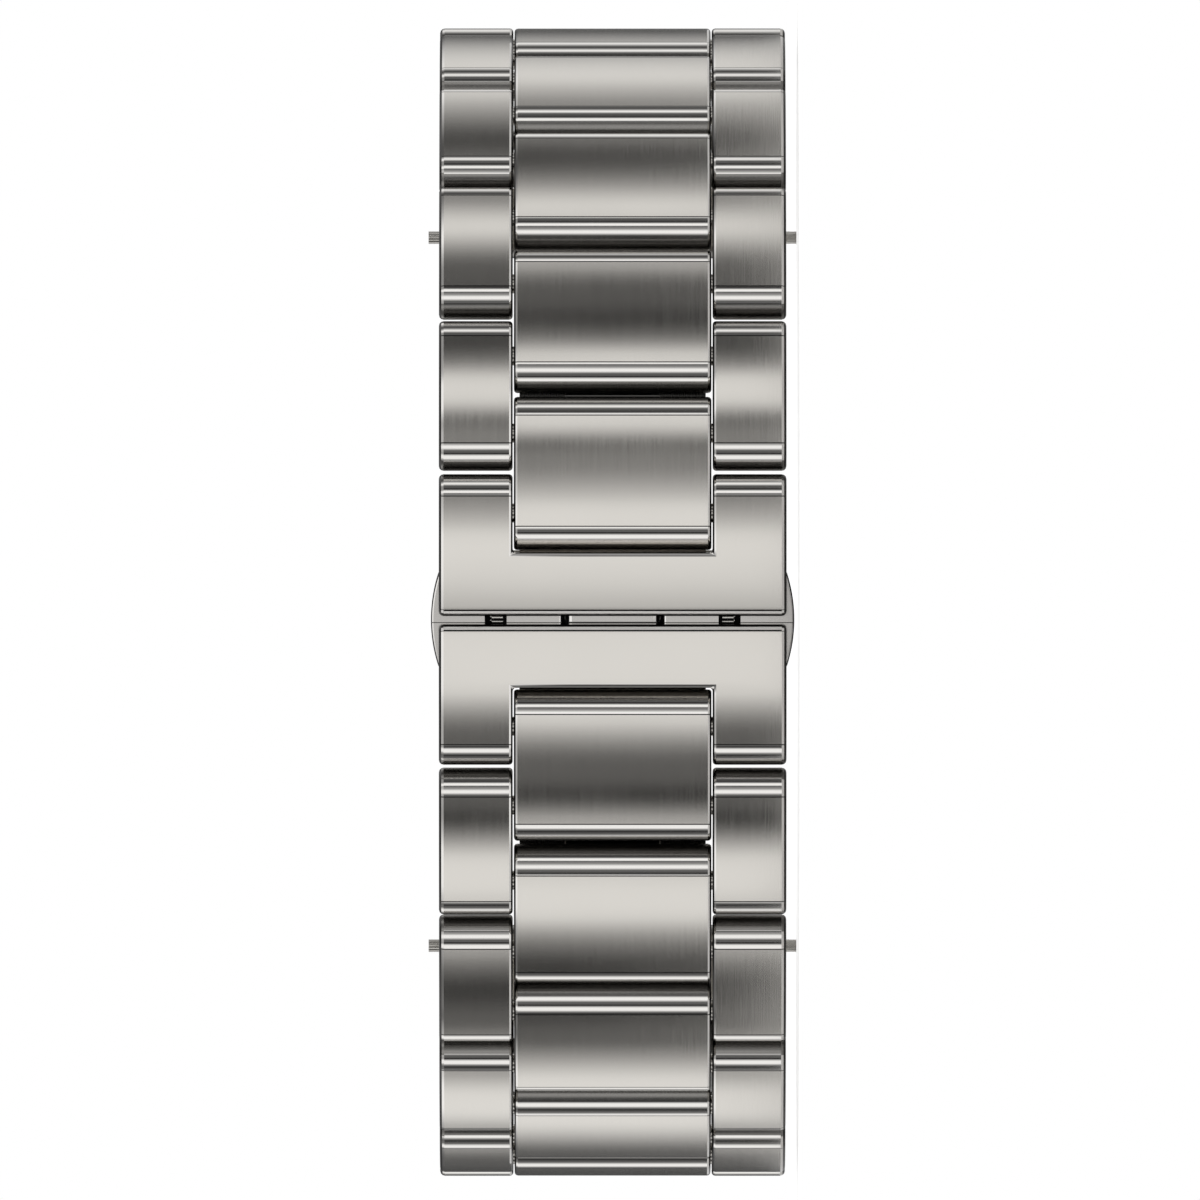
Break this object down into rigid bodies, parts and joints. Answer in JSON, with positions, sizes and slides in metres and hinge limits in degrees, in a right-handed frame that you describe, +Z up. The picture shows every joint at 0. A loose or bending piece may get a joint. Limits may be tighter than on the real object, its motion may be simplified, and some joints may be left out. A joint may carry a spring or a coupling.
{
  "type": "watch bracelet",
  "caption": "Steel watch bracelet of hinged centre and side links, closed by a double-folding clasp with side push buttons, with a sprung bar in each end link.",
  "frame": {"origin": "on the table under the middle of the closed bracelet, which lies on its side: X at the seam of the clasp, Y halfway from the clasp covers to the far ends, Z at the lowest bar tips", "axes": "+X along the band at the clasp, towards half a; +Y from the clasp towards the watch; +Z up, across the band, along every pin"},
  "size_m": [0.0732, 0.0514, 0.0236],
  "materials": {
    "satin_steel": "satin",
    "polished_steel": "polished",
    "spring_steel": "drawn wire"
  },
  "bodies": {
    "base": {"base_plate": "satin_steel", "latch_block": "satin_steel", "blade_pin_a": "polished_steel", "blade_pin_b": "polished_steel", "button_spring_top": "spring_steel", "button_spring_bottom": "spring_steel"},
    "button_top": {"button_top": "satin_steel"},
    "button_bottom": {"button_bottom": "satin_steel"},
    "blade_a": {"blade_a": "polished_steel"},
    "cover_a": {"cover_a": "satin_steel", "cover_pins_a": "polished_steel"},
    "centre_a1": {"centre_link_a1": "satin_steel"},
    "sides_a1": {"side_links_a1": "satin_steel", "link_pins_a1": "polished_steel"},
    "centre_a2": {"centre_link_a2": "satin_steel"},
    "sides_a2": {"side_links_a2": "satin_steel", "link_pins_a2": "polished_steel"},
    "centre_a3": {"centre_link_a3": "satin_steel"},
    "sides_a3": {"side_links_a3": "satin_steel", "link_pins_a3": "polished_steel"},
    "centre_a4": {"centre_link_a4": "satin_steel"},
    "sides_a4": {"side_links_a4": "satin_steel", "link_pins_a4": "polished_steel"},
    "centre_a5": {"centre_link_a5": "satin_steel"},
    "sides_a5": {"side_links_a5": "satin_steel", "link_pins_a5": "polished_steel"},
    "centre_a6": {"centre_link_a6": "satin_steel"},
    "sides_a6": {"side_links_a6": "satin_steel", "link_pins_a6": "polished_steel"},
    "end_a": {"end_link_a": "satin_steel", "spring_bar_a": "polished_steel", "bar_spring_a": "spring_steel"},
    "tip_a_top": {"bar_tip_a_top": "polished_steel"},
    "tip_a_bottom": {"bar_tip_a_bottom": "polished_steel"},
    "blade_b": {"blade_b": "polished_steel"},
    "cover_b": {"cover_b": "satin_steel", "cover_pins_b": "polished_steel"},
    "centre_b1": {"centre_link_b1": "satin_steel"},
    "sides_b1": {"side_links_b1": "satin_steel", "link_pins_b1": "polished_steel"},
    "centre_b2": {"centre_link_b2": "satin_steel"},
    "sides_b2": {"side_links_b2": "satin_steel", "link_pins_b2": "polished_steel"},
    "centre_b3": {"centre_link_b3": "satin_steel"},
    "sides_b3": {"side_links_b3": "satin_steel", "link_pins_b3": "polished_steel"},
    "centre_b4": {"centre_link_b4": "satin_steel"},
    "sides_b4": {"side_links_b4": "satin_steel", "link_pins_b4": "polished_steel"},
    "centre_b5": {"centre_link_b5": "satin_steel"},
    "sides_b5": {"side_links_b5": "satin_steel", "link_pins_b5": "polished_steel"},
    "centre_b6": {"centre_link_b6": "satin_steel"},
    "sides_b6": {"side_links_b6": "satin_steel", "link_pins_b6": "polished_steel"},
    "end_b": {"end_link_b": "satin_steel", "spring_bar_b": "polished_steel", "bar_spring_b": "spring_steel"},
    "tip_b_top": {"bar_tip_b_top": "polished_steel"},
    "tip_b_bottom": {"bar_tip_b_bottom": "polished_steel"}
  },
  "joints": [
    {"name": "button_top_press", "type": "slide", "parent": "base", "child": "button_top", "axis": [0, 0, -1], "range_m": [0, 0.0003], "stiffness_N_per_m": 1000, "springref_m": -0.001, "deforming": ["button_spring_top"]},
    {"name": "button_bottom_press", "type": "slide", "parent": "base", "child": "button_bottom", "axis": [0, 0, 1], "range_m": [0, 0.0003], "stiffness_N_per_m": 1000, "springref_m": -0.001, "deforming": ["button_spring_bottom"]},
    {"name": "blade_a_fold", "type": "hinge", "parent": "base", "child": "blade_a", "pos_m": [0.014, -0.01913, 0.0118], "axis": [0, 0, 1], "range_deg": [0, 150]},
    {"name": "cover_a_fold", "type": "hinge", "parent": "blade_a", "child": "cover_a", "pos_m": [0.00395, -0.02274, 0.0118], "axis": [0, 0, -1], "range_deg": [0, 150]},
    {"name": "bend_a01", "type": "hinge", "parent": "cover_a", "child": "centre_a1", "pos_m": [0.00675, -0.02405, 0.0118], "axis": [0, 0, 1], "range_deg": [-19.4, 5]},
    {"name": "bend_a02", "type": "hinge", "parent": "centre_a1", "child": "sides_a1", "pos_m": [0.01178, -0.02321, 0.0118], "axis": [0, 0, -1], "range_deg": [-11, 19.4]},
    {"name": "bend_a03", "type": "hinge", "parent": "sides_a1", "child": "centre_a2", "pos_m": [0.01661, -0.02157, 0.0118], "axis": [0, 0, 1], "range_deg": [-19.4, 30.6]},
    {"name": "bend_a04", "type": "hinge", "parent": "centre_a2", "child": "sides_a2", "pos_m": [0.0211, -0.01916, 0.0118], "axis": [0, 0, -1], "range_deg": [-30.6, 19.4]},
    {"name": "bend_a05", "type": "hinge", "parent": "sides_a2", "child": "centre_a3", "pos_m": [0.02514, -0.01605, 0.0118], "axis": [0, 0, 1], "range_deg": [-19.4, 30.6]},
    {"name": "bend_a06", "type": "hinge", "parent": "centre_a3", "child": "sides_a3", "pos_m": [0.02862, -0.01232, 0.0118], "axis": [0, 0, -1], "range_deg": [-30.6, 19.4]},
    {"name": "bend_a07", "type": "hinge", "parent": "sides_a3", "child": "centre_a4", "pos_m": [0.03145, -0.00807, 0.0118], "axis": [0, 0, 1], "range_deg": [-19.4, 30.6]},
    {"name": "bend_a08", "type": "hinge", "parent": "centre_a4", "child": "sides_a4", "pos_m": [0.03354, -0.00342, 0.0118], "axis": [0, 0, -1], "range_deg": [-30.6, 19.4]},
    {"name": "bend_a09", "type": "hinge", "parent": "sides_a4", "child": "centre_a5", "pos_m": [0.03484, 0.00151, 0.0118], "axis": [0, 0, 1], "range_deg": [-19.4, 30.6]},
    {"name": "bend_a10", "type": "hinge", "parent": "centre_a5", "child": "sides_a5", "pos_m": [0.03532, 0.00659, 0.0118], "axis": [0, 0, -1], "range_deg": [-25, 25]},
    {"name": "bend_a11", "type": "hinge", "parent": "sides_a5", "child": "centre_a6", "pos_m": [0.03447, 0.01162, 0.0118], "axis": [0, 0, 1], "range_deg": [-25, 25]},
    {"name": "bend_a12", "type": "hinge", "parent": "centre_a6", "child": "sides_a6", "pos_m": [0.03234, 0.01626, 0.0118], "axis": [0, 0, -1], "range_deg": [-25, 25]},
    {"name": "bend_a13", "type": "hinge", "parent": "sides_a6", "child": "end_a", "pos_m": [0.02909, 0.02019, 0.0118], "axis": [0, 0, 1], "range_deg": [-25, 25]},
    {"name": "tip_a_top_press", "type": "slide", "parent": "end_a", "child": "tip_a_top", "axis": [0, 0, -1], "range_m": [0, 0.0009], "stiffness_N_per_m": 2000, "springref_m": -0.001, "deforming": ["bar_spring_a"]},
    {"name": "tip_a_bottom_press", "type": "slide", "parent": "end_a", "child": "tip_a_bottom", "axis": [0, 0, 1], "range_m": [0, 0.0009], "stiffness_N_per_m": 2000, "springref_m": -0.001},
    {"name": "blade_b_fold", "type": "hinge", "parent": "base", "child": "blade_b", "pos_m": [-0.014, -0.01913, 0.0118], "axis": [0, 0, -1], "range_deg": [0, 150]},
    {"name": "cover_b_fold", "type": "hinge", "parent": "blade_b", "child": "cover_b", "pos_m": [-0.00395, -0.02274, 0.0118], "axis": [0, 0, 1], "range_deg": [0, 150]},
    {"name": "bend_b01", "type": "hinge", "parent": "cover_b", "child": "centre_b1", "pos_m": [-0.00675, -0.02405, 0.0118], "axis": [0, 0, -1], "range_deg": [-19.4, 5]},
    {"name": "bend_b02", "type": "hinge", "parent": "centre_b1", "child": "sides_b1", "pos_m": [-0.01178, -0.02321, 0.0118], "axis": [0, 0, 1], "range_deg": [-11, 19.4]},
    {"name": "bend_b03", "type": "hinge", "parent": "sides_b1", "child": "centre_b2", "pos_m": [-0.01661, -0.02157, 0.0118], "axis": [0, 0, -1], "range_deg": [-19.4, 30.6]},
    {"name": "bend_b04", "type": "hinge", "parent": "centre_b2", "child": "sides_b2", "pos_m": [-0.0211, -0.01916, 0.0118], "axis": [0, 0, 1], "range_deg": [-30.6, 19.4]},
    {"name": "bend_b05", "type": "hinge", "parent": "sides_b2", "child": "centre_b3", "pos_m": [-0.02514, -0.01605, 0.0118], "axis": [0, 0, -1], "range_deg": [-19.4, 30.6]},
    {"name": "bend_b06", "type": "hinge", "parent": "centre_b3", "child": "sides_b3", "pos_m": [-0.02862, -0.01232, 0.0118], "axis": [0, 0, 1], "range_deg": [-30.6, 19.4]},
    {"name": "bend_b07", "type": "hinge", "parent": "sides_b3", "child": "centre_b4", "pos_m": [-0.03145, -0.00807, 0.0118], "axis": [0, 0, -1], "range_deg": [-19.4, 30.6]},
    {"name": "bend_b08", "type": "hinge", "parent": "centre_b4", "child": "sides_b4", "pos_m": [-0.03354, -0.00342, 0.0118], "axis": [0, 0, 1], "range_deg": [-30.6, 19.4]},
    {"name": "bend_b09", "type": "hinge", "parent": "sides_b4", "child": "centre_b5", "pos_m": [-0.03484, 0.00151, 0.0118], "axis": [0, 0, -1], "range_deg": [-19.4, 30.6]},
    {"name": "bend_b10", "type": "hinge", "parent": "centre_b5", "child": "sides_b5", "pos_m": [-0.03532, 0.00659, 0.0118], "axis": [0, 0, 1], "range_deg": [-25, 25]},
    {"name": "bend_b11", "type": "hinge", "parent": "sides_b5", "child": "centre_b6", "pos_m": [-0.03447, 0.01162, 0.0118], "axis": [0, 0, -1], "range_deg": [-25, 25]},
    {"name": "bend_b12", "type": "hinge", "parent": "centre_b6", "child": "sides_b6", "pos_m": [-0.03234, 0.01626, 0.0118], "axis": [0, 0, 1], "range_deg": [-25, 25]},
    {"name": "bend_b13", "type": "hinge", "parent": "sides_b6", "child": "end_b", "pos_m": [-0.02909, 0.02019, 0.0118], "axis": [0, 0, -1], "range_deg": [-25, 25]},
    {"name": "tip_b_top_press", "type": "slide", "parent": "end_b", "child": "tip_b_top", "axis": [0, 0, -1], "range_m": [0, 0.0009], "stiffness_N_per_m": 2000, "springref_m": -0.001, "deforming": ["bar_spring_b"]},
    {"name": "tip_b_bottom_press", "type": "slide", "parent": "end_b", "child": "tip_b_bottom", "axis": [0, 0, 1], "range_m": [0, 0.0009], "stiffness_N_per_m": 2000, "springref_m": -0.001}
  ],
  "couplings": [
    {"joint": "blade_a_fold", "follows": "cover_a_fold", "ratio": 1},
    {"joint": "blade_b_fold", "follows": "cover_b_fold", "ratio": 1}
  ]
}
